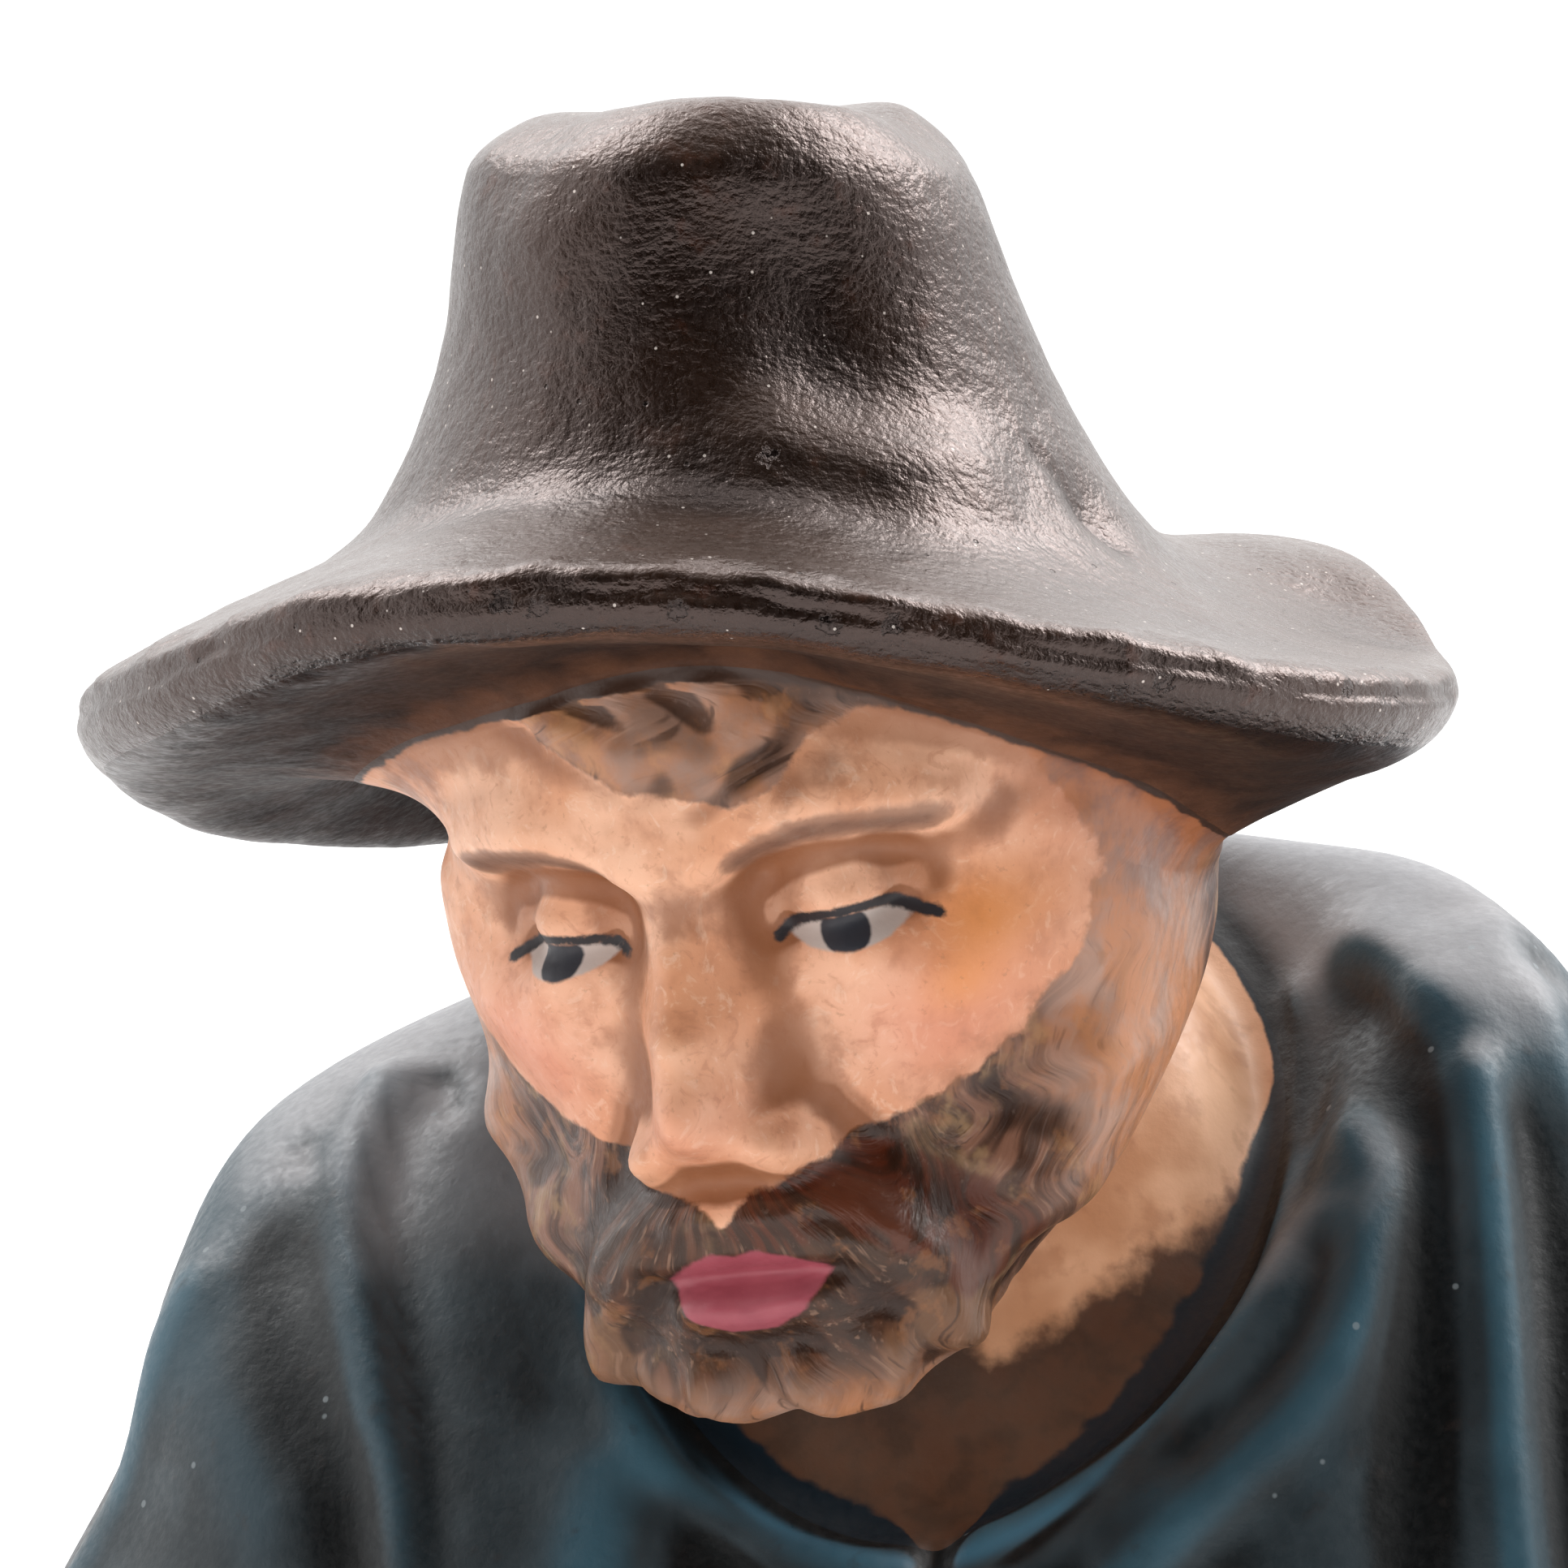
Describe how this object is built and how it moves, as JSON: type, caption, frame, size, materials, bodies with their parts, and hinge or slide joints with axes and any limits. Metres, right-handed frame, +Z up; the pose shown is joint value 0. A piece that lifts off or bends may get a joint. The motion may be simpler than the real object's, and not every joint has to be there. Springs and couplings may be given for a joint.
{
  "type": "nativity shepherd figure",
  "caption": "Bust of a bearded shepherd in a wide-brimmed felt hat and a gathered smock, head bowed and turned to its right, cut flat below the chest.",
  "frame": {"origin": "middle of the flat underside, which is the surface the bust stands on", "axes": "+Z up, -Y towards the front of the bust, +X towards the figure's own left shoulder"},
  "size_m": [0.046, 0.0361, 0.0413],
  "materials": {
    "painted_terracotta": "satin"
  },
  "bodies": {
    "root": {"shepherd_bust": "painted_terracotta"}
  },
  "joints": []
}
